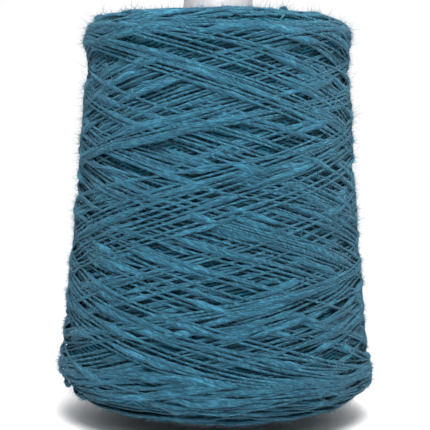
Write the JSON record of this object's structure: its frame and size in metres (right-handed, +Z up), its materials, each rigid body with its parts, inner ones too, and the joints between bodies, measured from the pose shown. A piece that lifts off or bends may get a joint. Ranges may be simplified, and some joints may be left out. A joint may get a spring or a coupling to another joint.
{
  "type": "yarn cone",
  "caption": "Cross-wound cone of slub yarn on a tapered plastic core, with a bored nose, an adapter ring inside the base and a transfer tail.",
  "frame": {"origin": "centre of the base rim's standing face, on the cone's axis", "axes": "+Z up the cone's axis from the base to the nose; +X through one of the tail notches in the base rim"},
  "size_m": [0.1676, 0.1676, 0.23],
  "materials": {
    "core_plastic": "satin moulded polypropylene, pale warm grey-white",
    "slub_yarn": "matt, softly hairy spun yarn, teal blue, thin plied stretches and thick soft slubs"
  },
  "bodies": {
    "root": {"cone_core": "core_plastic", "inner_windings": "slub_yarn", "outer_windings": "slub_yarn", "transfer_tail": "slub_yarn"}
  },
  "joints": []
}
